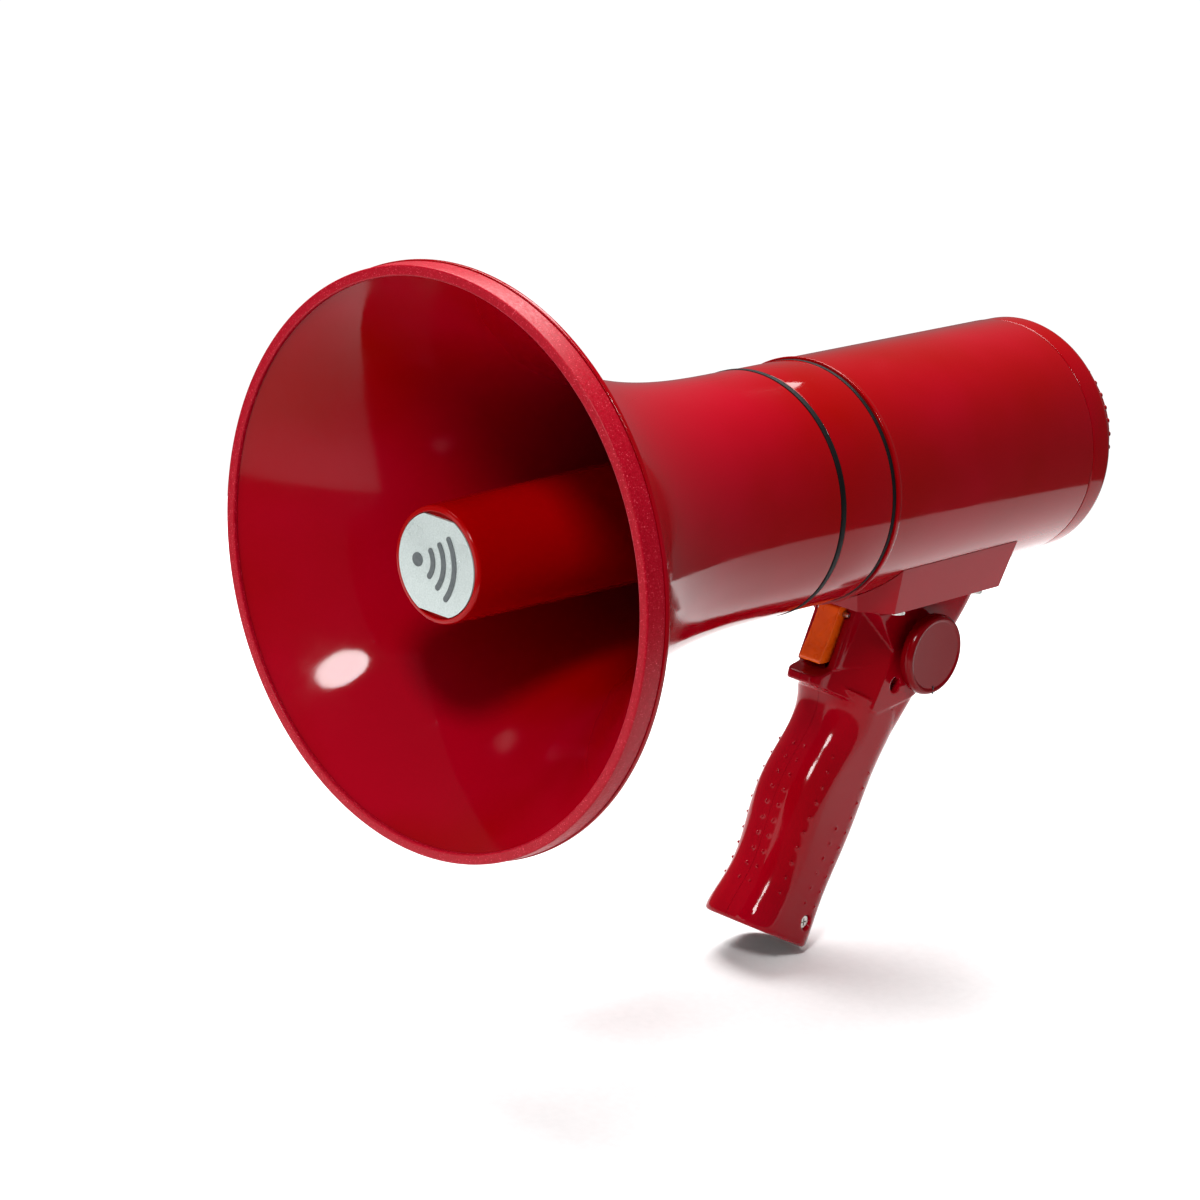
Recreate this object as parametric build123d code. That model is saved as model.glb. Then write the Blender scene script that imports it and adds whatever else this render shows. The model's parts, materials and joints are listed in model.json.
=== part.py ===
from build123d import *
import math
import os

# Handheld megaphone. Millimetres. The origin is the centre of the horn's mouth,
# +Y runs back along the horn axis, +Z is up, +X is the user's left.

# ---- horn
LIP_RADIUS = 110.0
FRONT_EDGE_RADIUS = 109.1
MOUTH_RADIUS = 105.0
GUARD_DEPTH = 8.6
GUARD_FRONT = 2.0
LIP_FRONT = 8.8
LIP_BACK = 10.8
BELL_FRONT = 2.2
FLARE_FRONT = 3.0
FLARE_BACK = 167.0
FLARE_RISE = 58.0
FLARE_POWER = 2.65
WAIST_RADIUS = 48.7
BELL_BACK = 171.8
BELL_WALL = 2.2

# ---- body of revolution behind the horn
FRONT_GASKET = (172.0, 174.6)
SPEAKER_HOUSING = (174.8, 202.4)
REAR_GASKET = (202.6, 204.4)
REAR_HOUSING = (204.6, 329.2)
HOUSING_RADIUS = 49.0
HOUSING_INNER = 46.5
LID = (329.6, 341.2)
LID_EDGE_RADIUS = 47.9
GUARD_RING_RADIUS = 36.4
GUARD_RING_BACK = 357.0
BEAD_RING_Y = 354.9
BEAD_COUNT = 42
BEAD_RADIUS = 1.3

# ---- reflector cup and badge
CUP_FRONT = 5.0
CUP_BACK = 118.0
CUP_FRONT_RADIUS = 21.9
CUP_BACK_RADIUS = 23.7
BADGE_RADIUS = 19.4
BADGE_HEIGHT = 35.6

# ---- batteries (C size cells)
CELL_RADIUS = 13.1
CELL_LENGTH = 50.0
CELL_FRONT = 226.2
CHAMBER_OFFSET = 14.3
CHAMBER_INNER = 13.5
CHAMBER_OUTER = 14.6

# ---- grip
SADDLE_BOTTOM = -50.3
HEAD_TOP = -50.6
HEAD_HALF_WIDTH = 19.5
NOSE_HALF_WIDTH = 8.8
CHEEK_HALF_WIDTH = 10.4
PAD_CORNER = (247.9, -74.5)
GRIP_LEAN = 27.4
GRIP_CENTRE_Y = 234.0
GRIP_CENTRE_Z = -120.0
GRIP_WALL = 3.0
BASE_STATION = 77.4
# station along the grip, reach to the front, reach to the back, width, corner radius
GRIP_SECTIONS = [
    (-26.0, 25.5, 19.8, 38.0, 16.0),
    (-9.0, 17.6, 20.2, 35.5, 14.0),
    (2.0, 19.6, 19.8, 34.0, 13.0),
    (15.0, 22.0, 19.8, 34.0, 12.5),
    (38.0, 20.2, 19.7, 33.5, 12.0),
    (60.0, 20.0, 19.6, 33.0, 12.0),
    (BASE_STATION, 23.0, 19.6, 35.0, 12.5),
]

NECK_SECTIONS = [
    (-38.0, 10.0, 19.0, 38.8, 6.5),
    (-12.0, 11.0, 20.0, 35.4, 14.0),
]

# ---- controls
KNOB_CENTRE = (263.0, -75.8)
KNOB_RADIUS = 17.0
KNOB_BACK = 23.8
KNOB_FACE = 29.2
SHAFT_RADIUS = 3.0
TRIGGER_HALF_WIDTH = 5.3
PIVOT = (231.6, -58.6)
PIN_RADIUS = 1.25
RUNNING_FIT = 0.05
UPPER_SCREW = (250.2, -88.4)
LOWER_SCREW = (209.3, -183.2)
SWITCH_Z = -71.5


def lathe(points):
    """Solid of revolution about the horn axis from (radius, y) corners."""
    return revolve(make_face(Polyline(*points, close=True)), Axis.Y)


def tube(r_in, r_out, y0, y1):
    """Straight ring, or a disc when r_in is zero, around the horn axis."""
    return lathe([(r_in, y0), (r_out, y0), (r_out, y1), (r_in, y1)])


def rod(start, direction, radius, length):
    """Cylinder that starts at a point and runs along a direction."""
    plane = Plane(origin=start, z_dir=direction)
    low = (Align.CENTER, Align.CENTER, Align.MIN)
    return plane * Cylinder(radius, length, align=low)


def block(x, y, z):
    """Box between the given pairs of limits."""
    centre = ((x[0] + x[1]) / 2, (y[0] + y[1]) / 2, (z[0] + z[1]) / 2)
    return Pos(*centre) * Box(x[1] - x[0], y[1] - y[0], z[1] - z[0])


def around_axis(count, radius, start=0.0):
    """(x, z) places spaced evenly round the horn axis."""
    places = []
    for i in range(count):
        turn = math.radians(start + 360.0 * i / count)
        places.append((radius * math.cos(turn), radius * math.sin(turn)))
    return places


def side_face(outline):
    """Face in the Y-Z plane from (y, z) corners."""
    return make_face(Polyline(*[(0, y, z) for y, z in outline], close=True))


def both_ways(face, half_width):
    """A side face thickened evenly to both sides of the middle plane."""
    return extrude(face, half_width, dir=(1, 0, 0), both=True)


def round_edge(solid, y, radius, amount):
    """Round the circular edge of the given radius at the given y."""
    near = []
    for edge in solid.edges().filter_by(GeomType.CIRCLE):
        if abs(edge.arc_center.Y - y) < 0.01 and abs(edge.radius - radius) < 0.01:
            near.append(edge)
    return fillet(near, amount)


def save(node, *solids):
    """Write one node; several solids stay separate in a compound."""
    shape = solids[0] if len(solids) == 1 else Compound(children=list(solids))
    export_step(shape, "parts/" + node + ".step")


# ------------------------------------------------------------------ horn


def flare_radius(y):
    """Outer radius of the bell, which opens ever faster towards the mouth."""
    reach = max(FLARE_BACK - y, 0.0) / (FLARE_BACK - FLARE_FRONT)
    return WAIST_RADIUS + FLARE_RISE * reach**FLARE_POWER


def horn_bell():
    stations = [BELL_FRONT, 24.0, 48.0, 74.0, 102.0, 132.0, FLARE_BACK]
    outer = [(flare_radius(y), y) for y in stations]
    inner = [(flare_radius(y) - BELL_WALL, y) for y in stations]
    front = Line(inner[0], outer[0])
    flare_out = Spline(*outer, tangents=[(-0.94, 1), (0, 1)])
    rear = Polyline(outer[-1], (WAIST_RADIUS, BELL_BACK), (inner[-1][0], BELL_BACK), inner[-1])
    flare_in = Spline(*inner, tangents=[(-0.94, 1), (0, 1)])
    shell = revolve(make_face(front + flare_out + rear + flare_in), Axis.Y)
    lip = round_edge(tube(99.4, LIP_RADIUS, LIP_FRONT, LIP_BACK), LIP_BACK, LIP_RADIUS, 0.9)
    lip = round_edge(lip, LIP_FRONT, LIP_RADIUS, 0.6)
    return shell + lip


def rim_guard():
    guard = lathe([
        (MOUTH_RADIUS, 0),
        (FRONT_EDGE_RADIUS, 0),
        (FRONT_EDGE_RADIUS + 0.4, GUARD_DEPTH),
        (107.7, GUARD_DEPTH),
        (107.7, GUARD_FRONT),
        (MOUTH_RADIUS, GUARD_FRONT),
    ])
    guard = round_edge(guard, 0, FRONT_EDGE_RADIUS, 0.5)
    return round_edge(guard, 0, MOUTH_RADIUS, 0.7)


def reflector_cup():
    cup = lathe([
        (0, 8.4),
        (19.9, 8.4),
        (CUP_BACK_RADIUS - 2.0, CUP_BACK),
        (CUP_BACK_RADIUS, CUP_BACK),
        (CUP_FRONT_RADIUS, CUP_FRONT),
        (BADGE_RADIUS + 0.3, CUP_FRONT),
        (BADGE_RADIUS + 0.3, 6.3),
        (0, 6.3),
    ])
    return round_edge(cup, CUP_FRONT, CUP_FRONT_RADIUS, 1.7)


def badge_plate():
    disc = tube(0, BADGE_RADIUS, 4.9, 6.2)
    return disc & block((-30, 30), (0, 10), (-BADGE_HEIGHT / 2, BADGE_HEIGHT / 2))


def badge_mark():
    """A plain sound-wave sign: a dot and three arcs."""
    plane = Plane.XZ.offset(-4.8)
    pieces = [plane * Pos(-9.5, 0) * Circle(2.6)]
    for radius in (8.0, 13.5, 19.0):
        arc = CenterArc((-9.5, 0), radius, -36, 72)
        pieces.append(plane * SlotArc(arc, 2.2))
    return [extrude(piece, 0.2) for piece in pieces]


def throat_tube():
    body = lathe([
        (8.5, BELL_BACK),
        (12.5, 30),
        (14.3, 30),
        (11.6, 146),
        (14.5, 158),
        (24, 163),
        (46.4, 163),
        (46.4, BELL_BACK),
    ])
    for x, z in around_axis(4, 43.4, 45):
        body -= rod((x, 165, z), (0, 1, 0), 1.55, 10)
    for x, z in around_axis(4, 38.0, 0):
        body -= rod((x, 165, z), (0, 1, 0), 1.55, 10)
    return body


def cup_spider():
    """Hub on the throat tube with three fins that carry the cup."""
    spider = lathe([(13.2, 82), (13.2, 104), (14.8, 104), (14.8, 82)])
    for i in range(3):
        fin = block((-1, 1), (84, 102), (14.0, 20.9))
        spider += Rot(0, 120 * i, 0) * fin
    return spider


def phase_plug():
    plug = lathe([(0, 156), (5.2, 167), (5.2, 171.2), (0, 171.2)])
    for i in range(3):
        rib = block((-0.6, 0.6), (167, 171), (4.5, 8.45))
        plug += Rot(0, 120 * i, 0) * rib
    return plug


# ------------------------------------------------------------------ driver


def diaphragm():
    """Dome bulging to the rear, with a flat clamped rim."""
    outer, inner, centre = 20.4, 20.0, 156.2
    reach = 12.4
    edge = lambda r: centre + math.sqrt(r * r - reach * reach)
    mid = 6.4
    crown = ThreePointArc(
        (0, centre + outer),
        (mid, centre + math.sqrt(outer**2 - mid**2)),
        (reach, edge(outer)),
    )
    hollow = ThreePointArc(
        (reach, edge(inner)),
        (mid, centre + math.sqrt(inner**2 - mid**2)),
        (0, centre + inner),
    )
    ends = Line(crown @ 1, hollow @ 0) + Line(hollow @ 1, crown @ 0)
    dome = revolve(make_face(crown + hollow + ends), Axis.Y)
    return dome + tube(12.2, 24.0, 171.9, 172.3)


def voice_coil():
    return tube(12.2, 12.7, 172.9, 181.0)


def driver_cage():
    cage = lathe([
        (20.6, 172.4),
        (41.4, 172.4),
        (41.4, 175.4),
        (34.4, 175.4),
        (34.4, 186.0),
        (32.3, 186.0),
        (32.3, 178.1),
        (20.6, 178.1),
    ])
    for x, z in around_axis(4, 38.0, 0):
        cage -= rod((x, 171, z), (0, 1, 0), 1.7, 6)
    return cage


def driver_screws():
    screws = []
    for x, z in around_axis(4, 38.0, 0):
        shank = rod((x, 165.6, z), (0, 1, 0), 1.5, 10)
        screws.append(shank + rod((x, 175.5, z), (0, 1, 0), 2.9, 2.2))
    return screws


def driver_yoke():
    return lathe([(0, 179), (11.6, 179), (11.6, 192.6), (30, 192.6), (30, 197), (0, 197)])


# ------------------------------------------------------------------ housings


def speaker_housing():
    body = lathe([
        (46.4, SPEAKER_HOUSING[0]),
        (48.6, SPEAKER_HOUSING[0]),
        (48.6, SPEAKER_HOUSING[1]),
        (38.0, SPEAKER_HOUSING[1]),
        (38.0, 199.4),
        (46.4, 199.4),
    ])
    for x, z in around_axis(4, 43.4, 45):
        body -= rod((x, 198, z), (0, 1, 0), 1.7, 6)
    return body


def tie_bolts():
    """Long screws that clamp the horn, speaker housing and rear housing."""
    bolts = []
    for x, z in around_axis(4, 43.4, 45):
        shank = rod((x, 165.6, z), (0, 1, 0), 1.5, 41.6)
        bolts.append(shank + rod((x, 207.1, z), (0, 1, 0), 2.75, 2.4))
    return bolts


def saddle_screw_places():
    return [(29, 235), (29, 284), (-29, 235), (-29, 284)]


def rear_housing():
    front, back = REAR_HOUSING
    body = lathe([
        (30, front),
        (49.2, front),
        (49.6, front + 0.5),
        (49.6, front + 1.4),
        (HOUSING_RADIUS, front + 2.2),
        (HOUSING_RADIUS, back),
        (HOUSING_INNER, back),
        (HOUSING_INNER, 207.0),
        (30, 207.0),
    ])
    for x, z in around_axis(4, 43.4, 45):
        body -= rod((x, 204, z), (0, 1, 0), 1.7, 4)
    for x, y in saddle_screw_places():
        body -= rod((x, y, -44), (0, 0, 1), 1.6, 12)
    return body - rod((0, 246, -52), (0, 0, 1), 3.5, 10)


def rear_lid():
    front, back = LID
    lid = lathe([
        (44.0, 323.5),
        (46.2, 323.5),
        (46.2, front),
        (48.8, front),
        (48.8, back - 2.0),
        (LID_EDGE_RADIUS, back),
        (GUARD_RING_RADIUS + 0.2, back),
        (GUARD_RING_RADIUS + 0.2, back - 2.4),
        (46.0, back - 2.4),
        (46.0, 331.0),
        (44.0, 331.0),
    ])
    return round_edge(lid, back, LID_EDGE_RADIUS, 0.4)


def mic_guard():
    """Ring round the microphone with a row of beads near its rear edge."""
    back = GUARD_RING_BACK
    ring = lathe([
        (33.8, 336.6),
        (41.0, 336.6),
        (41.0, 338.6),
        (GUARD_RING_RADIUS, 338.6),
        (GUARD_RING_RADIUS, back),
        (33.8, back),
        (33.8, 349.0),
        (31.8, 349.0),
        (31.8, 347.0),
        (33.8, 347.0),
    ])
    ring = round_edge(ring, back, GUARD_RING_RADIUS, 0.6)
    bead = Pos(GUARD_RING_RADIUS + 0.3, BEAD_RING_Y, 0) * Sphere(BEAD_RADIUS)
    beads = [Rot(0, 360.0 * i / BEAD_COUNT, 0) * bead for i in range(BEAD_COUNT)]
    return ring + beads


def microphone_grille():
    disc = tube(0, 33.6, 352.4, 354.0)
    holes = []
    for ring in range(1, 6):
        for x, z in around_axis(6 * ring, 5.6 * ring):
            holes.append(rod((x, 352, z), (0, 1, 0), 1.5, 3))
    holes.append(rod((0, 352, 0), (0, 1, 0), 1.5, 3))
    return disc - holes


def microphone_boot():
    return lathe([
        (5.7, 332),
        (7.4, 332),
        (7.4, 346),
        (4.95, 346),
        (4.95, 338.3),
        (5.7, 338.3),
    ])


# ------------------------------------------------------------------ batteries


def chamber_places():
    c = CHAMBER_OFFSET
    return [(c, c), (-c, c), (-c, -c), (c, -c)]


def battery_holder():
    holder = tube(0, 46.2, 220.0, 222.0)
    holder += tube(0, 5.6, 220.0, 338.0)
    for x, z in chamber_places():
        holder += rod((x, 222, z), (0, 1, 0), CHAMBER_OUTER, 103)
    for x, z in chamber_places():
        holder -= rod((x, 222, z), (0, 1, 0), CHAMBER_INNER, 110)
    holder -= tube(0, 4.4, 215, 340)
    for plate in contact_plates(222.0, 0.7, True, 0.2):
        holder -= plate
    return holder - block((-7, 7), (219, 223), (-47, -37))


def cells():
    """Eight cells; neighbouring chambers face opposite ways."""
    barrel = CELL_LENGTH - 1.6
    found = []
    for i, (x, z) in enumerate(chamber_places()):
        for j in range(2):
            base = CELL_FRONT + j * CELL_LENGTH
            if i % 2 == 0:
                can = rod((x, base, z), (0, 1, 0), CELL_RADIUS, barrel)
                found.append(can + rod((x, base, z), (0, 1, 0), 3.3, CELL_LENGTH - 0.1))
            else:
                end = base + CELL_LENGTH
                can = rod((x, end, z), (0, -1, 0), CELL_RADIUS, barrel)
                found.append(can + rod((x, end, z), (0, -1, 0), 3.3, CELL_LENGTH - 0.1))
    return found


def battery_springs():
    springs = []
    for x, z in chamber_places():
        path = Helix(pitch=1.15, height=2.6, radius=5.0)
        start = Plane(origin=path @ 0, z_dir=path % 0)
        coil = sweep(start * Circle(0.35), path, is_frenet=True)
        springs.append(Plane(origin=(x, 223.2, z), z_dir=(0, 1, 0)) * coil)
    return springs


def contact_plates(y, thickness, rows, spare=0.0):
    """Two plates that each join a pair of cells, side by side or one above the other."""
    plates = []
    for side in (-1, 1):
        half = 6.5 + spare
        reach = CHAMBER_OFFSET + half
        cross = (side * CHAMBER_OFFSET - half, side * CHAMBER_OFFSET + half)
        across = (-reach, reach)
        if rows:
            plates.append(block(across, (y, y + thickness), cross))
        else:
            plates.append(block(cross, (y, y + thickness), across))
    return plates


def contact_carrier():
    carrier = tube(9.2, 43.8, 327.6, 329.6)
    return carrier - block((-6, 6), (327, 330), (38, 46)) - block((-6, 6), (327, 330), (-46, -38))


# ------------------------------------------------------------------ amplifier


def amplifier_board():
    board = tube(0, 36.0, 209.6, 211.2) & block((-32, 32), (209, 212), (-36, 36))
    for x, z in around_axis(3, 31.5, 90):
        board -= rod((x, 209, z), (0, 1, 0), 1.2, 3)
    return board


def board_standoffs():
    return [rod((x, 207.1, z), (0, 1, 0), 1.1, 5.6) + rod((x, 207.1, z), (0, 1, 0), 2.6, 2.4)
            + rod((x, 211.3, z), (0, 1, 0), 2.2, 1.4) for x, z in around_axis(3, 31.5, 90)]


def heat_sink():
    sink = block((-22, -4), (211.4, 219.0), (4, 24))
    for i in range(4):
        z = 6.6 + 4.6 * i
        sink -= block((-20, -3), (213.4, 220), (z, z + 2.6))
    return sink


def power_transistors():
    found = []
    for z in (7.0, 17.0):
        found.append(block((-3.8, 1.2), (211.4, 218.4), (z, z + 6)))
    return found


def capacitors():
    spots = [(10, 10), (18, 18), (20, 6), (14, -8), (24, -8)]
    return [rod((x, 211.3, z), (0, 1, 0), 3.6, 7.6) for x, z in spots]


def output_transformer():
    core = block((-22, 2), (212.4, 218.6), (-24, -6))
    coil = block((-19, -1), (211.3, 219.4), (-20, -10))
    return core + coil


# ------------------------------------------------------------------ wires


def wire(points, radius):
    path = Spline(*points)
    return sweep(Plane(origin=path @ 0, z_dir=path % 0) * Circle(radius), path)


def speaker_leads():
    leads = []
    for x in (-3.0, 3.0):
        leads.append(wire([(x, 197.9, -20), (x, 201, -23), (x, 205, -25), (x, 208.8, -25.5)], 0.7))
    return leads


def microphone_lead():
    return wire([(0, 211.6, 0), (0, 250, 0.6), (0, 300, -0.6), (0, 337.9, 0)], 1.1)


def control_leads():
    points = [(0, 213.2, -34), (0, 219, -42), (0, 234, -43.2), (0, 244.5, -45.5),
              (0, 247, -52), (0, 250, -58), (2, 257, -64)]
    return wire(points, 1.6)


# ------------------------------------------------------------------ saddle


def saddle_bracket():
    """Cradle under the rear housing with a pointed nose and sloping sides."""
    plan = Plane.XY.offset(-28) * make_face(Polyline(
        (-25, 212.5), (25, 212.5), (39, 225), (39, 298), (-39, 298), (-39, 225), close=True))
    cradle = extrude(plan, SADDLE_BOTTOM + 28, taper=12)
    tongue = block((-10.8, 10.8), (240, 290), (-56, SADDLE_BOTTOM + 1))
    saddle = cradle + tongue - tube(0, HOUSING_RADIUS + 0.15, 200, 310)
    saddle -= tube(0, 50.0, 200, 207.2)
    for x, y in saddle_screw_places():
        saddle -= rod((x, y, -60), (0, 0, 1), 1.7, 30)
    saddle -= rod((0, 247, -60), (0, 0, 1), 4.0, 12)
    return saddle


def saddle_screws():
    screws = []
    for x, y in saddle_screw_places():
        head = rod((x, y, SADDLE_BOTTOM - 2.1), (0, 0, 1), 3.4, 2.0)
        shank = rod((x, y, SADDLE_BOTTOM - 0.2), (0, 0, 1), 1.5, 14)
        slot = block((x - 2.2, x + 2.2), (y - 0.4, y + 0.4), (-53, SADDLE_BOTTOM - 1.2))
        slot += block((x - 0.4, x + 0.4), (y - 2.2, y + 2.2), (-53, SADDLE_BOTTOM - 1.2))
        screws.append(head + shank - slot)
    return screws


# ------------------------------------------------------------------ grip


def grip_plane(station):
    """Plane across the grip; local +Y points to the front."""
    lean = math.radians(GRIP_LEAN)
    y = GRIP_CENTRE_Y - station * math.sin(lean)
    z = GRIP_CENTRE_Z - station * math.cos(lean)
    return Plane(origin=(0, y, z), x_dir=(1, 0, 0), z_dir=(0, -math.sin(lean), -math.cos(lean)))


def grip_section(station, front, back, width, corner, inset):
    depth = front + back - 2 * inset
    shift = (front - back) / 2
    rounded = RectangleRounded(width - 2 * inset, depth, corner - inset)
    return grip_plane(station) * Pos(0, shift) * rounded


def handle_solid():
    """Outside of the handle, with its bottom edge rounded."""
    handle = loft([grip_section(*section, 0) for section in GRIP_SECTIONS])
    bottom = handle.faces().sort_by(Axis.Z)[0]
    return fillet(bottom.edges(), 1.6)


def head_side_face():
    """Side view of the grip's head: trigger housing, finger ledge and rear curve."""
    rear = Spline((0, 268.5, -95), (0, 280.5, -80), (0, 293, -66.5), (0, 303, HEAD_TOP))
    lines = Polyline(
        (0, 303, HEAD_TOP),
        (0, 234.6, HEAD_TOP),
        (0, 222.2, -79.6),
        (0, 213.4, -81.2),
        (0, 212.6, -84.6),
        (0, 219.4, -87.6),
        (0, 223.8, -90.0),
        (0, 240.0, -98.6),
        (0, 250.0, -97.5),
        (0, 268.5, -95),
    )
    return make_face(rear + lines)


def head_prism(nose, corner, low, high):
    """Narrow at the front and full width behind, leaning with the grip, between two heights."""
    corners = [(nose, 180), (nose, corner), (HEAD_HALF_WIDTH, PAD_CORNER[0]), (HEAD_HALF_WIDTH, 340)]
    mirrored = [(-x, y) for x, y in reversed(corners)]
    plan = Plane.XY.offset(PAD_CORNER[1]) * make_face(Polyline(*(corners + mirrored), close=True))
    lean = math.radians(GRIP_LEAN)
    axis = Vector(0, math.sin(lean), math.cos(lean))
    prism = extrude(plan, 45, dir=axis) + extrude(plan, 45, dir=-axis)
    return prism & block((-30, 30), (150, 360), (low, high))


def grip_head():
    """Cheeks beside the trigger, sloping pads behind them and a narrower finger ledge."""
    upper = side_face([(236.5, HEAD_TOP), (236.5, -56.6), PAD_CORNER, (270, PAD_CORNER[1]), (270, HEAD_TOP)])
    width = head_prism(CHEEK_HALF_WIDTH, 228.5, -79.2, -40)
    width += head_prism(NOSE_HALF_WIDTH, 226, -110, -79.2)
    width += both_ways(upper, HEAD_HALF_WIDTH)
    head = both_ways(head_side_face(), 30) & width
    head = fillet(head.edges().filter_by(is_head_corner), 5.5)
    return fillet(head.edges().filter_by(is_ledge_corner), 4.0)


def neck_blend():
    """Rear of the neck, from the head's square section to the handle's rounded one."""
    return loft([grip_section(*section, 0) for section in NECK_SECTIONS])


def is_head_corner(edge):
    """The two long edges where the rear curve meets the side walls."""
    middle = edge @ 0.5
    return abs(abs(middle.X) - HEAD_HALF_WIDTH) < 0.01 and middle.Y > 264 and edge.length > 20


def is_ledge_corner(edge):
    """The short upright edges at the two front corners of the finger ledge."""
    middle = edge @ 0.5
    return abs(abs(middle.X) - NOSE_HALF_WIDTH) < 0.01 and middle.Y < 213.3


def grip_hollow():
    """Room inside the two halves for the switch, the potentiometer and the wires."""
    room = block((-16.4, 16.4), (246, 276), (-92, -53.2))
    room += block((-16.4, 16.4), (270, 290), (-68, -53.2))
    room += block((-5.8, 5.8), (226, 250), (-82, -53.2))
    room += block((-9, 9), (236, 250), (-92, -53.2))
    sections = [grip_section(*section, GRIP_WALL) for section in GRIP_SECTIONS]
    return room + loft(sections[1:])


def grip_nubs():
    """Rows of small nubs over the front and sides, placed on the handle's skin."""
    handle = handle_solid()
    spots = []
    for i in range(10):
        station = 1.6 + 6.5 * i
        plane = grip_plane(station)
        for turn in (8, 45, 96, 118):
            if turn == 96 and i < 4:
                continue
            spots.append((plane, turn))
    nubs = []
    for plane, turn in spots:
        angle = math.radians(turn)
        way = plane.x_dir * math.sin(angle) + plane.y_dir * math.cos(angle)
        hits = handle.find_intersection_points(Axis(plane.origin, way))
        hits = [point for point, _ in hits if (point - plane.origin).dot(way) > 0]
        far = max(hits, key=lambda point: (point - plane.origin).length)
        seat = far - way * 0.4
        nubs.append(Pos(*seat) * Sphere(0.9))
    return nubs


def whole_grip():
    """Both halves together, before they are split on the middle plane."""
    body = grip_head() + neck_blend() + handle_solid() - grip_hollow()
    for y, z in (UPPER_SCREW, LOWER_SCREW):
        body += rod((-15.5, y, z), (1, 0, 0), 4.6, 31)
        body -= rod((-12.5, y, z), (1, 0, 0), 1.55, 40)
        body -= rod((8.0, y, z), (1, 0, 0), 3.0, 20)
    body -= block((-11.0, 11.0), (239.8, 290.2), (-56.2, -50))
    body -= block((-5.7, 5.7), (214, 240), (-79.9, -54.4))
    body -= rod((-8.2, *PIVOT), (1, 0, 0), PIN_RADIUS + 0.01, 16.4)
    body -= rod((14, *KNOB_CENTRE), (1, 0, 0), 3.6, 10)
    return body


def grip_halves():
    body = whole_grip()
    left = body & block((0, 40), (150, 320), (-210, -40))
    right = body & block((-40, 0), (150, 320), (-210, -40))
    for nub in grip_nubs():
        left += nub
        right += mirror(nub, Plane.YZ)
    return left, right


def grip_base():
    """Plug that closes the bottom of the grip."""
    front, back, width, corner = GRIP_SECTIONS[-1][1:]
    inset = GRIP_WALL + 0.2
    plug = grip_section(BASE_STATION - 3.4, front, back, width, corner, inset + 0.9)
    return extrude(plug, 3.0)


def grip_screws():
    screws = []
    for (y, z), head_at in ((UPPER_SCREW, 8.1), (LOWER_SCREW, 8.1)):
        shank = rod((-12.0, y, z), (1, 0, 0), 1.5, 12.0 + head_at + 0.1)
        head = rod((head_at, y, z), (1, 0, 0), 2.6, 2.0)
        if (y, z) == LOWER_SCREW:
            head = rod((head_at, y, z), (1, 0, 0), 2.6, 7.4)
        top = head_at + (7.4 if (y, z) == LOWER_SCREW else 2.0)
        cross = block((top - 0.9, top + 1), (y - 1.6, y + 1.6), (z - 0.3, z + 0.3))
        cross += block((top - 0.9, top + 1), (y - 0.3, y + 0.3), (z - 1.6, z + 1.6))
        screws.append(shank + head - cross)
    return screws


# ------------------------------------------------------------------ trigger and switch


def trigger():
    """Hollow-fronted key on a pin at its top, with a rib that meets the switch."""
    face = ThreePointArc((0, 228.0, -54.9), (0, 223.4, -65.6), (0, 216.4, -77.4))
    back = Polyline(
        (0, 216.4, -77.4),
        (0, 224.0, -77.6),
        (0, 231.0, -72.0),
        (0, 235.2, -62.0),
        (0, 234.6, -56.2),
        (0, 232.6, -54.9),
        (0, 228.0, -54.9),
    )
    key = both_ways(make_face(face + back), TRIGGER_HALF_WIDTH)
    key = fillet(key.edges().filter_by(lambda e: is_front_edge(e)), 1.4)
    key += block((-1.5, 1.5), (228, 238.4), (SWITCH_Z - 1.6, SWITCH_Z + 1.6))
    return key - rod((-10, *PIVOT), (1, 0, 0), PIN_RADIUS + RUNNING_FIT, 20)


def is_front_edge(edge):
    """Edges around the trigger's front face."""
    middle = edge @ 0.5
    line = 228.0 + (middle.Z + 54.9) * 0.51
    return middle.Y < line + 0.8


def trigger_spring():
    path = Helix(pitch=1.7, height=9.6, radius=2.2)
    start = Plane(origin=path @ 0, z_dir=path % 0)
    coil = sweep(start * Circle(0.3), path, is_frenet=True)
    return Plane(origin=(0, 236.1, -63.0), z_dir=(0, 1, 0)) * coil


def talk_switch():
    """Push switch with two solder tags and a ledge that backs the trigger spring."""
    body = block((-3.2, 3.2), (243.6, 256.0), (-78, -66))
    body += block((-3.2, 3.2), (246.2, 249.0), (-66, -60.4))
    body -= rod((0, 240, SWITCH_Z), (0, 1, 0), 1.6, 8)
    return body + block((-1, 1), (256, 259), (-77, -76)) + block((-1, 1), (256, 259), (-68, -67))


def switch_button():
    return rod((0, 238.7, SWITCH_Z), (0, 1, 0), 1.25, 6.2)


def volume_knob():
    y, z = KNOB_CENTRE
    knob = rod((KNOB_BACK, y, z), (1, 0, 0), KNOB_RADIUS, KNOB_FACE - KNOB_BACK)
    rim = knob.edges().filter_by(lambda e: abs((e @ 0).X - KNOB_FACE) < 0.01)
    knob = fillet(rim, 1.5)
    knob -= rod((KNOB_BACK - 1, y, z), (1, 0, 0), 6.5, 2.6)
    knob -= rod((KNOB_BACK - 1, y, z), (1, 0, 0), SHAFT_RADIUS, 4.8)
    knob -= rod((KNOB_FACE - 0.4, y, z), (1, 0, 0), KNOB_RADIUS - 2.8, 1)
    return knob - block((KNOB_FACE - 0.9, KNOB_FACE + 1), (y - 0.4, y + 0.4), (z - 20, z - 12.6))


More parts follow.
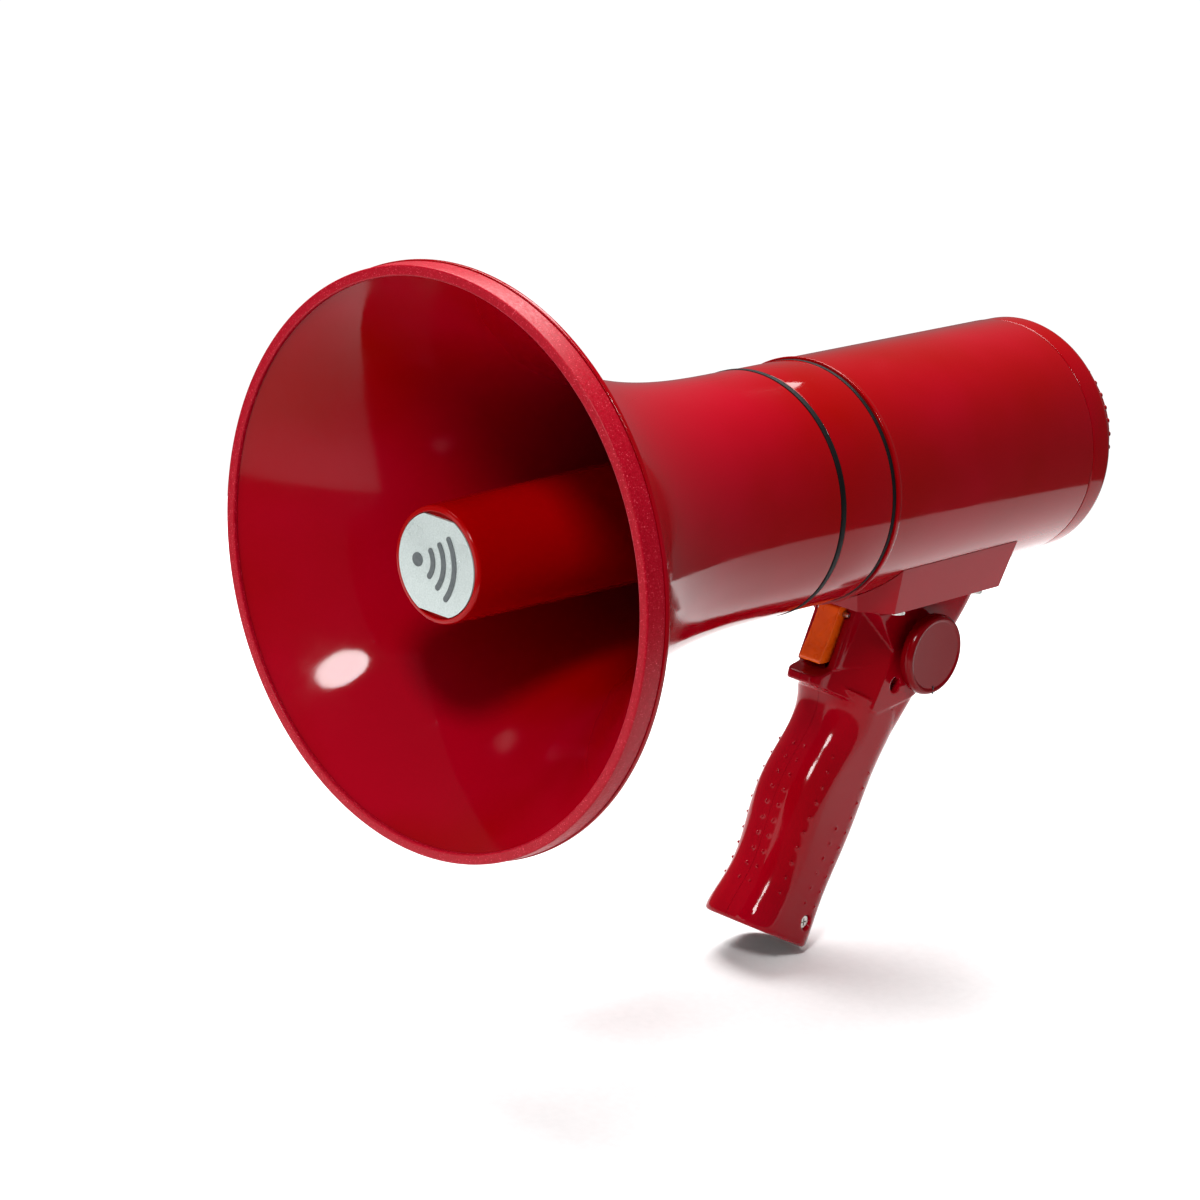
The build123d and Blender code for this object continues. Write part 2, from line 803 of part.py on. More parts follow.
def potentiometer():
    y, z = KNOB_CENTRE
    can = rod((4.5, y, z), (1, 0, 0), 8.0, 11.6)
    neck = rod((16.0, y, z), (1, 0, 0), 3.5, 5.4)
    return can + neck - rod((6.0, y, z), (1, 0, 0), SHAFT_RADIUS + RUNNING_FIT, 20)


def potentiometer_nut():
    y, z = KNOB_CENTRE
    plane = Plane(origin=(19.6, y, z), z_dir=(1, 0, 0))
    nut = extrude(plane * RegularPolygon(5.2, 6), 1.7)
    return nut - rod((19, y, z), (1, 0, 0), 3.55, 4)


def potentiometer_shaft():
    return rod((7.0, *KNOB_CENTRE), (1, 0, 0), SHAFT_RADIUS, KNOB_BACK - 3.2)


# ------------------------------------------------------------------ write every node

os.makedirs("parts", exist_ok=True)

save("horn_bell", horn_bell())
save("rim_guard", rim_guard())
save("reflector_cup", reflector_cup())
save("badge_plate", badge_plate())
save("badge_mark", *badge_mark())
save("throat_tube", throat_tube())
save("cup_spider", cup_spider())
save("phase_plug", phase_plug())
save("diaphragm", diaphragm())
save("voice_coil", voice_coil())
save("driver_cage", driver_cage())
save("driver_screws", *driver_screws())
save("driver_top_plate", tube(13.1, 32.0, 178.3, 182.2))
save("driver_magnet", tube(16.0, 31.0, 182.4, 192.4))
save("driver_yoke", driver_yoke())
save("front_gasket", tube(46.1, 49.2, *FRONT_GASKET))
save("speaker_housing", speaker_housing())
save("rear_gasket", tube(46.1, 48.9, *REAR_GASKET))
save("tie_bolts", *tie_bolts())
save("rear_housing", rear_housing())
save("rear_lid", rear_lid())
save("mic_guard", mic_guard())
save("microphone_grille", microphone_grille())
save("microphone_foam", tube(0, 33.4, 349.2, 352.2))
save("microphone_boot", microphone_boot())
save("microphone_capsule", tube(0, 4.85, 339.2, 345.8))
save("battery_holder", battery_holder())
save("cells", *cells())
save("battery_springs", *battery_springs())
save("front_contacts", *contact_plates(222.1, 0.4, True))
save("lid_contacts", *contact_plates(326.9, 0.5, False))
save("contact_carrier", contact_carrier())
save("amplifier_board", amplifier_board())
save("board_standoffs", *board_standoffs())
save("heat_sink", heat_sink())
save("power_transistors", *power_transistors())
save("capacitors", *capacitors())
save("output_transformer", output_transformer())
save("speaker_leads", *speaker_leads())
save("microphone_lead", microphone_lead())
save("control_leads", control_leads())
save("saddle_bracket", saddle_bracket())
save("saddle_screws", *saddle_screws())
left_half, right_half = grip_halves()
save("grip_left", left_half)
save("grip_right", right_half)
save("grip_base", grip_base())
save("grip_screws", *grip_screws())
save("trigger", trigger())
save("trigger_pin", rod((-8.0, *PIVOT), (1, 0, 0), PIN_RADIUS, 16.0))
save("trigger_spring", trigger_spring())
save("talk_switch", talk_switch())
save("switch_button", switch_button())
save("volume_knob", volume_knob())
save("potentiometer", potentiometer())
save("potentiometer_nut", potentiometer_nut())
save("potentiometer_shaft", potentiometer_shaft())
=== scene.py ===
"""Looks for the handheld megaphone: finer turned and moulded parts, materials and studio."""

import json
import math

import bmesh
import bpy
from mathutils import Matrix, Vector
from mathutils.bvhtree import BVHTree


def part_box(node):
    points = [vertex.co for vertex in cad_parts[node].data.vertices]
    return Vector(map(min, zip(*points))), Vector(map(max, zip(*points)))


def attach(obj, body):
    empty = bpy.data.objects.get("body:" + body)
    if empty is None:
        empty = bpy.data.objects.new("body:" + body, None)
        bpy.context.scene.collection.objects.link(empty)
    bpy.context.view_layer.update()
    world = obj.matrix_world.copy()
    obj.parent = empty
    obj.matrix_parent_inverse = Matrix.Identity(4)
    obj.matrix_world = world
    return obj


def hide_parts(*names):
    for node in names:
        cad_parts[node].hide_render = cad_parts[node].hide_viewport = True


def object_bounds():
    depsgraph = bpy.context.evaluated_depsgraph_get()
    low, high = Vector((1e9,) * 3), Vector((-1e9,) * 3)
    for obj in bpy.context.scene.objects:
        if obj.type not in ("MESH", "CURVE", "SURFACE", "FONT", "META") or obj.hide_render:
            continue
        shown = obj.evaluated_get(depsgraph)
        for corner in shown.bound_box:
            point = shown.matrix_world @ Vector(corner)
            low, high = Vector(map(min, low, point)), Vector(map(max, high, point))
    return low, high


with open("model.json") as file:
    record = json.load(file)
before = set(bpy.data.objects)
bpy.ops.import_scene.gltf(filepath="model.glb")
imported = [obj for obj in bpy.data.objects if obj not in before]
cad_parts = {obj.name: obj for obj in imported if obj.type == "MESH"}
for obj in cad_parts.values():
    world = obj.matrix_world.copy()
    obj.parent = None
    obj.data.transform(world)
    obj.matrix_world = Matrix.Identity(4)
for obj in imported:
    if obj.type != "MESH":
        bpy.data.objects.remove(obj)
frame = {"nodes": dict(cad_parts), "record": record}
CAD_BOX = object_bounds()

MM = 0.001
BODY = "megaphone_body"

# ---- the flare, as in the CAD source
FLARE_BACK = 167 * MM
FLARE_FRONT = 3 * MM
FLARE_RISE = 58 * MM
FLARE_POWER = 2.65
BELL_WALL = 2.2 * MM
WAIST = 48.7 * MM
MOUTH_RADIUS = 105 * MM

# ---- lid and microphone guard: radii, then distances back from the mouth, as in the CAD source
LID_SKIRT_INNER = 44.0 * MM
LID_SKIRT_OUTER = 46.2 * MM
LID_SHOULDER = 46.0 * MM
LID_OPENING = 36.6 * MM
LID_SHOULDER_PLACE = 331.0 * MM
GUARD_RING = 36.4 * MM
GUARD_BORE = 33.8 * MM
GUARD_FLANGE = 41.0 * MM
GUARD_LEDGE = 31.8 * MM
GUARD_FRONT = 336.6 * MM
GUARD_FLANGE_BACK = 338.6 * MM
GUARD_LEDGE_FRONT = 347.0 * MM
GUARD_LEDGE_BACK = 349.0 * MM
BEADS = 42
BEAD_RADIUS = 1.3 * MM
BEAD_PROUD = 0.3 * MM
BEAD_SETBACK = 2.1 * MM

# ---- knob
SHAFT_HOLE_RADIUS = 3.0 * MM
SHAFT_HOLE_DEPTH = 3.8 * MM
KNOB_RECESS_RADIUS = 6.5 * MM
KNOB_RECESS_DEPTH = 1.6 * MM
KNOB_STEPS = 160

# ---- gaskets and cup
GASKET_RECESS = 0.25 * MM
CUP_STEPS = 160
CUP_BORE_RADIUS = 19.9 * MM

# ---- turned meshes
TURN_STEPS = 256
ARC_STEPS = 5
SHARP_ANGLE = math.radians(32)

# ---- camera and light, as seen from the object
CAMERA_PLACE = (0.9797, -0.9585, 0.4172)
CAMERA_RIGHT = (0.71684, 0.69450, 0.06177)
CAMERA_UP = (-0.24905, 0.17230, 0.95304)
CAMERA_LENS = 119.7
SENSOR = 36.0
CAMERA_REACH = 50
KEY_AZIMUTH = 37.5
KEY_ELEVATION = 47.0
KEY_DISTANCE = 1.35
KEY_WIDTH = 0.30
KEY_POWER = 14.5
OVERHEAD_OFFSET = Vector((-0.50, 0.35, 1.35))
OVERHEAD_WIDTH = 1.3
OVERHEAD_POWER = 58.0
FILL_PLACE = Vector((-0.35, -1.15, 0.10))
FILL_WIDTH = 0.9
FILL_POWER = 6.5
ROOM_LIGHT = (0.18, 0.18, 0.18)
BACKDROP = (1.05, 1.05, 1.05)
FLOOR_CENTRE = (-0.10, 0.17)
FLOOR_RADIUS = 0.60
FLOOR_STEPS = 160
FLOOR_GAP = 0.5 * MM

# ---- grip, as in the CAD source
GRIP_LEAN = math.radians(27.4)
GRIP_CENTRE = Vector((0, 234 * MM, -120 * MM))
NUB_TURNS = (8, 45, 96, 118)
NUBS_IN_ROW = 10
SHORT_ROW = 96
SHORT_ROW_START = 4
NUB_FIRST = 1.6 * MM
NUB_SPACING = 6.5 * MM
NUB_RADIUS = 0.7 * MM
NUB_SUNK = 0.3 * MM

# ---- skins made from the CAD meshes
GRIP_VOXEL = 0.5 * MM
GRIP_SMOOTHING = 10
HALF_JOINT_GAP = 0.06 * MM
TRIGGER_VOXEL = 0.25 * MM
TRIGGER_SMOOTHING = 14
CAD_BEVELS = (("saddle_bracket", 0.5), ("badge_plate", 0.3), ("microphone_grille", 0.15))


# ------------------------------------------------------------------ mesh helpers


def add_mesh(name, mesh_builder, slot_name, body=BODY):
    """Turn a bmesh into a smooth-shaded object that rides on a body."""
    mesh = bpy.data.meshes.new(name)
    mesh_builder.to_mesh(mesh)
    mesh_builder.free()
    mesh.polygons.foreach_set("use_smooth", [True] * len(mesh.polygons))
    mesh.set_sharp_from_angle(angle=SHARP_ANGLE)
    piece = bpy.data.objects.new(name, mesh)
    bpy.context.scene.collection.objects.link(piece)
    mesh.materials.append(MATERIALS[slot_name])
    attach(piece, body)
    return piece


def rounded(corners):
    """Closed outline from (radius, place, rounding) corners; each rounding becomes a short arc."""
    outline = []
    count = len(corners)
    for i, (r, y, rounding) in enumerate(corners):
        here = Vector((r, y))
        if rounding == 0:
            outline.append(here)
            continue
        before = Vector(corners[i - 1][:2])
        after = Vector(corners[(i + 1) % count][:2])
        into = (before - here).normalized()
        out = (after - here).normalized()
        for k in range(ARC_STEPS + 1):
            t = k / ARC_STEPS
            outline.append(here + into * rounding * (1 - t) ** 2 + out * rounding * t**2)
    return outline


def turned(outline, centre=(0, 0, 0), axis="Y", steps=TURN_STEPS):
    """Mesh of revolution from a closed outline of (radius, place along the axis)."""
    builder = bmesh.new()
    rings = []
    for r, along in outline:
        if r < 1e-6:
            rings.append([builder.verts.new(on_axis(0, 0, along, axis))])
            continue
        ring = []
        for k in range(steps):
            turn = 2 * math.pi * k / steps
            ring.append(builder.verts.new(on_axis(r * math.cos(turn), r * math.sin(turn), along, axis)))
        rings.append(ring)
    for i, ring in enumerate(rings):
        join_rings(builder, ring, rings[(i + 1) % len(rings)], steps)
    bmesh.ops.recalc_face_normals(builder, faces=builder.faces)
    bmesh.ops.translate(builder, vec=Vector(centre), verts=builder.verts)
    return builder


def on_axis(u, v, along, axis):
    """Point at (u, v) across the Y or X axis, a distance along it."""
    return (u, along, v) if axis == "Y" else (along, u, v)


def join_rings(builder, first, second, steps):
    """Faces between two rings; a ring of one vertex is a point on the axis."""
    if len(first) == 1 and len(second) == 1:
        return
    for k in range(steps):
        n = (k + 1) % steps
        if len(first) == 1:
            builder.faces.new((first[0], second[k], second[n]))
        elif len(second) == 1:
            builder.faces.new((first[k], first[n], second[0]))
        else:
            builder.faces.new((first[k], first[n], second[n], second[k]))


def add_bump(builder, centre, radius, detail=2):
    """A small ball for a nub or bead, sunk in whatever it sits on."""
    place = Matrix.Translation(Vector(centre))
    bmesh.ops.create_icosphere(builder, subdivisions=detail, radius=radius, matrix=place)


def softened(name, nodes, voxel, passes):
    """Copy of CAD nodes joined into one skin with every edge gently rounded."""
    builder = bmesh.new()
    for node in nodes:
        builder.from_mesh(frame["nodes"][node].data)
    mesh = bpy.data.meshes.new(name + "_raw")
    builder.to_mesh(mesh)
    builder.free()
    raw = bpy.data.objects.new(name + "_raw", mesh)
    bpy.context.scene.collection.objects.link(raw)
    remesh = raw.modifiers.new("skin", "REMESH")
    remesh.mode = "VOXEL"
    remesh.voxel_size = voxel
    smooth = raw.modifiers.new("soften", "SMOOTH")
    smooth.factor = 0.5
    smooth.iterations = passes
    bpy.context.view_layer.update()
    evaluated = raw.evaluated_get(bpy.context.evaluated_depsgraph_get())
    result = bmesh.new()
    result.from_mesh(evaluated.to_mesh())
    evaluated.to_mesh_clear()
    bpy.data.objects.remove(raw)
    return result


# ------------------------------------------------------------------ material helpers


class Shader:
    """A material's node tree with short calls for the patterns used here."""

    def __init__(self, name, **sockets):
        self.material = bpy.data.materials.new(name)
        self.material.use_nodes = True
        self.tree = self.material.node_tree
        self.surface = self.tree.nodes["Principled BSDF"]
        for socket, value in sockets.items():
            self.surface.inputs[socket.replace("_", " ")].default_value = value
        self.place = self.tree.nodes.new("ShaderNodeTexCoord").outputs["Object"]

    def node(self, kind, **settings):
        made = self.tree.nodes.new(kind)
        for setting, value in settings.items():
            setattr(made, setting, value)
        return made

    def link(self, start, end):
        self.tree.links.new(start, end)

    def noise(self, scale, detail=4.0, stretch=None):
        found = self.node("ShaderNodeTexNoise")
        found.inputs["Scale"].default_value = scale
        found.inputs["Detail"].default_value = detail
        self.link(self.stretched(stretch), found.inputs["Vector"])
        return found.outputs["Fac"]

    def cells(self, scale, stretch=None):
        found = self.node("ShaderNodeTexVoronoi")
        found.inputs["Scale"].default_value = scale
        self.link(self.stretched(stretch), found.inputs["Vector"])
        return found

    def stretched(self, stretch):
        if stretch is None:
            return self.place
        mapping = self.node("ShaderNodeMapping")
        mapping.inputs["Scale"].default_value = stretch
        self.link(self.place, mapping.inputs["Vector"])
        return mapping.outputs["Vector"]

    def ramp(self, source, stops):
        """Colour ramp from (position, colour) stops."""
        made = self.node("ShaderNodeValToRGB")
        elements = made.color_ramp.elements
        while len(elements) < len(stops):
            elements.new(0.5)
        for element, (position, colour) in zip(elements, stops):
            element.position = position
            element.color = (*colour, 1.0)
        self.link(source, made.inputs["Fac"])
        return made.outputs["Color"]

    def spread(self, source, low, high, source_low=0.35, source_high=0.65):
        made = self.node("ShaderNodeMapRange")
        made.inputs["From Min"].default_value = source_low
        made.inputs["From Max"].default_value = source_high
        made.inputs["To Min"].default_value = low
        made.inputs["To Max"].default_value = high
        self.link(source, made.inputs["Value"])
        return made.outputs["Result"]

    def colour(self, source):
        self.link(source, self.surface.inputs["Base Color"])

    def rough(self, source):
        self.link(source, self.surface.inputs["Roughness"])

    def bump(self, *layers):
        """Bump from (height, strength, depth) layers, one on top of the other."""
        normal = None
        for height, strength, depth in layers:
            made = self.node("ShaderNodeBump")
            made.inputs["Strength"].default_value = strength
            made.inputs["Distance"].default_value = depth
            self.link(height, made.inputs["Height"])
            if normal is not None:
                self.link(normal, made.inputs["Normal"])
            normal = made.outputs["Normal"]
        self.link(normal, self.surface.inputs["Normal"])


# ------------------------------------------------------------------ materials


def gloss_red(name, dark, light, roughness, wave):
    """Moulded glossy plastic: faint colour drift, smudges, orange peel and slow waves."""
    shader = Shader(name, IOR=1.5, Specular_IOR_Level=0.13)
    shader.colour(shader.ramp(shader.noise(11.0, 3.0), [(0.36, dark), (0.64, light)]))
    shader.rough(shader.spread(shader.noise(38.0, 6.0), *roughness))
    peel = shader.noise(420.0, 2.0)
    waves = shader.noise(26.0, 2.0)
    shader.bump((waves, 0.25, wave), (peel, 0.12, 0.00004))
    return shader.material


def speckled_rim(name):
    """Satin bumper with fine specks; the brightest specks are painted sparkle, glints of the textured band
    painted into its colour.
    """
    shader = Shader(name, IOR=1.5, Specular_IOR_Level=0.12)
    specks_and_sparkle = shader.cells(3600.0).outputs["Color"]
    base = shader.ramp(specks_and_sparkle, [
        (0.0, (0.23, 0.0, 0.005)),
        (0.50, (0.31, 0.0, 0.009)),
        (0.84, (0.38, 0.004, 0.017)),
        # painted sparkle: this top stop turns the brightest cells pale pink as glints of the textured band;
        # the lower stops are the band's own red tone
        (1.0, (0.85, 0.10, 0.14)),
    ])
    shader.colour(base)
    shader.rough(shader.spread(shader.noise(700.0, 3.0), 0.30, 0.46))
    shader.bump((shader.noise(1500.0, 3.0), 0.35, 0.00006))
    return shader.material


def fine_matt(name, dark, light, roughness, grain=900.0, depth=0.00005, shine=0.5):
    """Plain moulded or rubber surface with a fine grain."""
    shader = Shader(name, IOR=1.48, Specular_IOR_Level=shine)
    shader.colour(shader.ramp(shader.noise(60.0, 6.0), [(0.3, dark), (0.7, light)]))
    shader.rough(shader.spread(shader.noise(grain, 4.0), *roughness))
    shader.bump((shader.noise(grain, 4.0), 0.4, depth))
    return shader.material


def plain_metal(name, dark, light, roughness, stretch=(1.0, 1.0, 12.0)):
    """Plated or rolled metal with a fine drawn grain."""
    shader = Shader(name, Metallic=1.0)
    shader.colour(shader.ramp(shader.noise(90.0, 6.0), [(0.3, dark), (0.7, light)]))
    grain = shader.noise(500.0, 5.0, stretch)
    shader.rough(shader.spread(grain, *roughness))
    shader.bump((grain, 0.15, 0.00003))
    return shader.material


def badge_face(name):
    """Satin grey-green disc with a very fine metallic grain."""
    shader = Shader(name, Metallic=0.35, IOR=1.5, Coat_Weight=0.3, Coat_Roughness=0.12)
    grain = shader.noise(1600.0, 4.0)
    shader.colour(shader.ramp(grain, [(0.3, (0.43, 0.49, 0.475)), (0.7, (0.56, 0.62, 0.605))]))
    shader.rough(shader.spread(shader.noise(45.0, 5.0), 0.26, 0.38))
    shader.bump((grain, 0.2, 0.00003))
    return shader.material


def printed_ink(name):
    shader = Shader(name, IOR=1.5)
    shader.colour(shader.ramp(shader.noise(700.0, 4.0), [
        (0.3, (0.055, 0.066, 0.070)),
        (0.7, (0.085, 0.098, 0.102)),
    ]))
    shader.rough(shader.spread(shader.noise(300.0), 0.35, 0.5))
    shader.bump((shader.noise(900.0), 0.2, 0.00002))
    return shader.material


def satin_orange(name):
    shader = Shader(name, IOR=1.5, Specular_IOR_Level=0.3)
    shader.colour(shader.ramp(shader.noise(110.0, 5.0), [
        (0.3, (0.72, 0.075, 0.001)),
        (0.7, (0.88, 0.115, 0.002)),
    ]))
    shader.rough(shader.spread(shader.noise(260.0, 4.0), 0.24, 0.36))
    shader.bump((shader.noise(900.0, 3.0), 0.25, 0.00004), (shader.noise(60.0, 2.0), 0.2, 0.0002))
    return shader.material


def winding(name):
    """Enamelled wire: fine rings along the horn axis."""
    shader = Shader(name, Metallic=0.9, Coat_Weight=0.5)
    rings = shader.node("ShaderNodeTexWave", bands_direction="Y")
    rings.inputs["Scale"].default_value = 900.0
    rings.inputs["Distortion"].default_value = 0.3
    shader.link(shader.place, rings.inputs["Vector"])
    shader.colour(shader.ramp(rings.outputs["Fac"], [
        (0.2, (0.30, 0.10, 0.03)),
        (0.8, (0.70, 0.30, 0.12)),
    ]))
    shader.rough(shader.spread(shader.noise(400.0), 0.25, 0.4))
    shader.bump((rings.outputs["Fac"], 0.5, 0.0001))
    return shader.material


def open_foam(name):
    shader = Shader(name, Sheen_Weight=0.3)
    holes = shader.cells(900.0).outputs["Distance"]
    # painted shade: the ramp makes each pore nearly black and the struts between pores lighter, shade in
    # the pores painted over the foam's own black
    shader.colour(shader.ramp(holes, [(0.05, (0.004, 0.004, 0.004)), (0.5, (0.045, 0.045, 0.047))]))
    shader.rough(shader.spread(holes, 0.85, 1.0, 0.0, 0.6))
    shader.bump((holes, 0.9, 0.0006))
    return shader.material


def circuit_board(name):
    """Green solder mask over faint copper tracks."""
    shader = Shader(name, Coat_Weight=0.4, Coat_Roughness=0.15)
    tracks = shader.node("ShaderNodeTexBrick")
    tracks.inputs["Scale"].default_value = 120.0
    tracks.inputs["Mortar Size"].default_value = 0.03
    tracks.inputs["Color1"].default_value = (0.010, 0.060, 0.022, 1.0)
    tracks.inputs["Color2"].default_value = (0.014, 0.075, 0.028, 1.0)
    tracks.inputs["Mortar"].default_value = (0.045, 0.150, 0.060, 1.0)
    mapping = shader.node("ShaderNodeMapping")
    mapping.inputs["Rotation"].default_value = (math.radians(90), 0, 0)
    shader.link(shader.place, mapping.inputs["Vector"])
    shader.link(mapping.outputs["Vector"], tracks.inputs["Vector"])
    shader.colour(tracks.outputs["Color"])
    shader.rough(shader.spread(shader.noise(500.0), 0.3, 0.45))
    shader.bump((tracks.outputs["Fac"], 0.3, 0.00005))
    return shader.material


def printed_sleeve(name):
    """Cell sleeve in two plain tones with a bright band near each end."""
    shader = Shader(name, Metallic=0.5, Coat_Weight=0.6, Coat_Roughness=0.08)
    bands = shader.node("ShaderNodeTexWave", bands_direction="Y")
    bands.inputs["Scale"].default_value = 6.3
    shader.link(shader.place, bands.inputs["Vector"])
    shader.colour(shader.ramp(bands.outputs["Fac"], [
        (0.0, (0.35, 0.20, 0.06)),
        (0.24, (0.32, 0.18, 0.05)),
        (0.28, (0.020, 0.022, 0.028)),
        (1.0, (0.030, 0.032, 0.038)),
    ]))
    shader.rough(shader.spread(shader.noise(200.0), 0.22, 0.34))
    shader.bump((shader.noise(900.0), 0.1, 0.00003))
    return shader.material


def make_materials():
    """One material for each slot, from its maker and that maker's settings."""
    black = (0.006, 0.006, 0.007)
    charcoal = (0.016, 0.016, 0.017)
    recipes = {
        "red_shell": (gloss_red, (0.225, 0.0, 0.0), (0.280, 0.0, 0.007), (0.05, 0.13), 0.0006),
        # cup_red is partly the cup's own red and partly painted light: it is set lighter than red_shell to
        # stand in for light bounced onto the cup inside the bell
        "cup_red": (gloss_red, (0.27, 0.0, 0.0002), (0.31, 0.0, 0.0006), (0.10, 0.18), 0.0004),
        "grip_red": (gloss_red, (0.25, 0.0, 0.004), (0.30, 0.0, 0.008), (0.06, 0.14), 0.0006),
        # knob_red is partly the knob's own red and partly painted shade: it is set darker than grip_red for
        # the shade and dark reflections seen on the knob
        "knob_red": (gloss_red, (0.16, 0.0, 0.002), (0.19, 0.0, 0.004), (0.10, 0.18), 0.0002),
        "rim_red": (speckled_rim,),
        "badge_metal": (badge_face,),
        "badge_ink": (printed_ink,),
        "black_rubber": (fine_matt, (0.002, 0.002, 0.002), black, (0.5, 0.65), 900.0, 0.00005, 0.12),
        "black_plastic": (fine_matt, black, charcoal, (0.35, 0.5)),
        "grey_plastic": (fine_matt, (0.050, 0.050, 0.052), (0.075, 0.075, 0.078), (0.4, 0.55)),
        "diaphragm_film": (fine_matt, (0.27, 0.14, 0.04), (0.36, 0.20, 0.06), (0.3, 0.45)),
        "copper": (winding,),
        "magnet": (fine_matt, (0.018, 0.018, 0.020), (0.032, 0.032, 0.035), (0.5, 0.7), 300.0, 0.0002),
        "plated_steel": (plain_metal, (0.46, 0.46, 0.44), (0.60, 0.60, 0.58), (0.22, 0.38)),
        "screw_steel": (plain_metal, (0.58, 0.58, 0.55), (0.74, 0.74, 0.72), (0.16, 0.30)),
        "spring_steel": (plain_metal, (0.52, 0.52, 0.50), (0.66, 0.66, 0.65), (0.18, 0.30)),
        "contact_metal": (plain_metal, (0.55, 0.50, 0.38), (0.68, 0.63, 0.50), (0.2, 0.35)),
        "heat_metal": (plain_metal, (0.48, 0.49, 0.50), (0.60, 0.61, 0.62), (0.3, 0.45)),
        "foam": (open_foam,),
        "cell_sleeve": (printed_sleeve,),
        "board": (circuit_board,),
        "component_black": (fine_matt, black, charcoal, (0.4, 0.55), 1500.0),
        "capacitor": (fine_matt, (0.006, 0.010, 0.040), (0.010, 0.016, 0.060), (0.2, 0.3), 300.0),
        "wire_black": (fine_matt, black, charcoal, (0.35, 0.5)),
        "wire_red": (fine_matt, (0.30, 0.010, 0.010), (0.38, 0.018, 0.016), (0.35, 0.5)),
        "trigger_orange": (satin_orange,),
    }
    return {name: make(name, *settings) for name, (make, *settings) in recipes.items()}


def dress_cad_nodes():
    """Give every CAD node the material of its slot."""
    for entry in frame["record"]["subparts"]:
        mesh = frame["nodes"][entry["node"]].data
        mesh.materials.clear()
        mesh.materials.append(MATERIALS[entry["material_slot"]])
        mesh.polygons.foreach_set("material_index", [0] * len(mesh.polygons))


# ------------------------------------------------------------------ horn


def span(node):
    """Front and back of a node along the horn axis."""
    low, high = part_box(node)
    return low.y, high.y


def reach(node):
    """Outer radius of a node about the horn axis."""
    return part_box(node)[1].x


def flare_radius(y):
    """Outer radius of the bell at a distance from the mouth."""
    part = max(FLARE_BACK - y, 0.0) / (FLARE_BACK - FLARE_FRONT)
    return WAIST + FLARE_RISE * part**FLARE_POWER


def stations(start, stop, count):
    return [start + (stop - start) * k / count for k in range(count + 1)]


def build_bell():
    front, back = span("horn_bell")
    lip = reach("horn_bell")
    lip_front = span("rim_guard")[1] + 0.2 * MM
    lip_back = lip_front + 2.0 * MM
    outline = [Vector((flare_radius(y) - BELL_WALL, y)) for y in stations(front, FLARE_BACK, 80)]
    outline.append(Vector((WAIST - BELL_WALL, back)))
    outline.append(Vector((WAIST - 0.2 * MM, back)))
    outline.append(Vector((WAIST, back - 0.3 * MM)))
    outline += [Vector((flare_radius(y), y)) for y in stations(FLARE_BACK, lip_back + 2.4 * MM, 70)]
    outline += rounded([
        (flare_radius(lip_back) + 1.2 * MM, lip_back, 0),
        (lip, lip_back, 0.8 * MM),
        (lip, lip_front, 0.5 * MM),
        (flare_radius(lip_front), lip_front, 0),
    ])
    outline.append(Vector((flare_radius(front), front)))
    bell = add_mesh("bell", turned(outline), "red_shell")
    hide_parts("horn_bell")


def build_rim():
    front, back = span("rim_guard")
    outer = reach("rim_guard")
    channel = outer - 1.8 * MM
    outline = rounded([
        (MOUTH_RADIUS, front, 0.9 * MM),
        (outer - 0.4 * MM, front, 0.8 * MM),
        (outer, back, 0.4 * MM),
        (channel, back, 0),
        (channel, front + 2 * MM, 0),
        (MOUTH_RADIUS, front + 2 * MM, 0.3 * MM),
    ])
    rim = add_mesh("rim", turned(outline), "rim_red")
    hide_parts("rim_guard")


def build_cup():
    front, back = span("reflector_cup")
    outer = reach("reflector_cup")
    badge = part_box("badge_plate")[1].x + 0.3 * MM
    recess = front + 1.3 * MM
    outline = rounded([
        (0, recess + 2.1 * MM, 0),
        (CUP_BORE_RADIUS, recess + 2.1 * MM, 0),
        (outer - 2 * MM, back, 0.5 * MM),
        (outer, back, 0.5 * MM),
        (outer - 1.8 * MM, front, 1.9 * MM),
        (badge, front, 0.4 * MM),
        (badge, recess, 0),
        (0, recess, 0),
    ])
    cup = add_mesh("cup", turned(outline, steps=CUP_STEPS), "cup_red")
    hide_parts("reflector_cup")


# ------------------------------------------------------------------ housings


def build_ring(name, node, slot_name, thickness, rounding):
    """A plain gasket with its outer edges rounded."""
    front, back = span(node)
    outer = reach(node) - GASKET_RECESS
    outline = rounded([
        (outer - thickness, front, 0),
        (outer, front, rounding),
        (outer, back, rounding),
        (outer - thickness, back, 0),
    ])
    ring = add_mesh(name, turned(outline), slot_name)
    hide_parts(node)


def build_speaker_housing():
    front, back = span("speaker_housing")
    outer = reach("speaker_housing")
    inner = outer - 2.2 * MM
    outline = rounded([
        (inner, front, 0),
        (outer, front, 0.5 * MM),
        (outer, back, 0.5 * MM),
        (outer - 10.6 * MM, back, 0),
        (outer - 10.6 * MM, back - 3 * MM, 0),
        (inner, back - 3 * MM, 0),
    ])
    housing = add_mesh("speaker_shell", turned(outline), "red_shell")
    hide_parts("speaker_housing")


def build_rear_housing():
    front, back = span("rear_housing")
    lip = reach("rear_housing")
    outer = lip - 0.6 * MM
    inner = outer - 2.5 * MM
    outline = rounded([
        (lip - 19.6 * MM, front, 0),
        (lip, front, 0.5 * MM),
        (lip, front + 1.6 * MM, 0.5 * MM),
        (outer, front + 2.4 * MM, 0.5 * MM),
        (outer, back, 0.8 * MM),
        (inner, back, 0.3 * MM),
        (inner, front + 2.4 * MM, 0),
        (lip - 19.6 * MM, front + 2.4 * MM, 0),
    ])
    housing = add_mesh("rear_shell", turned(outline), "red_shell")
    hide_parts("rear_housing")


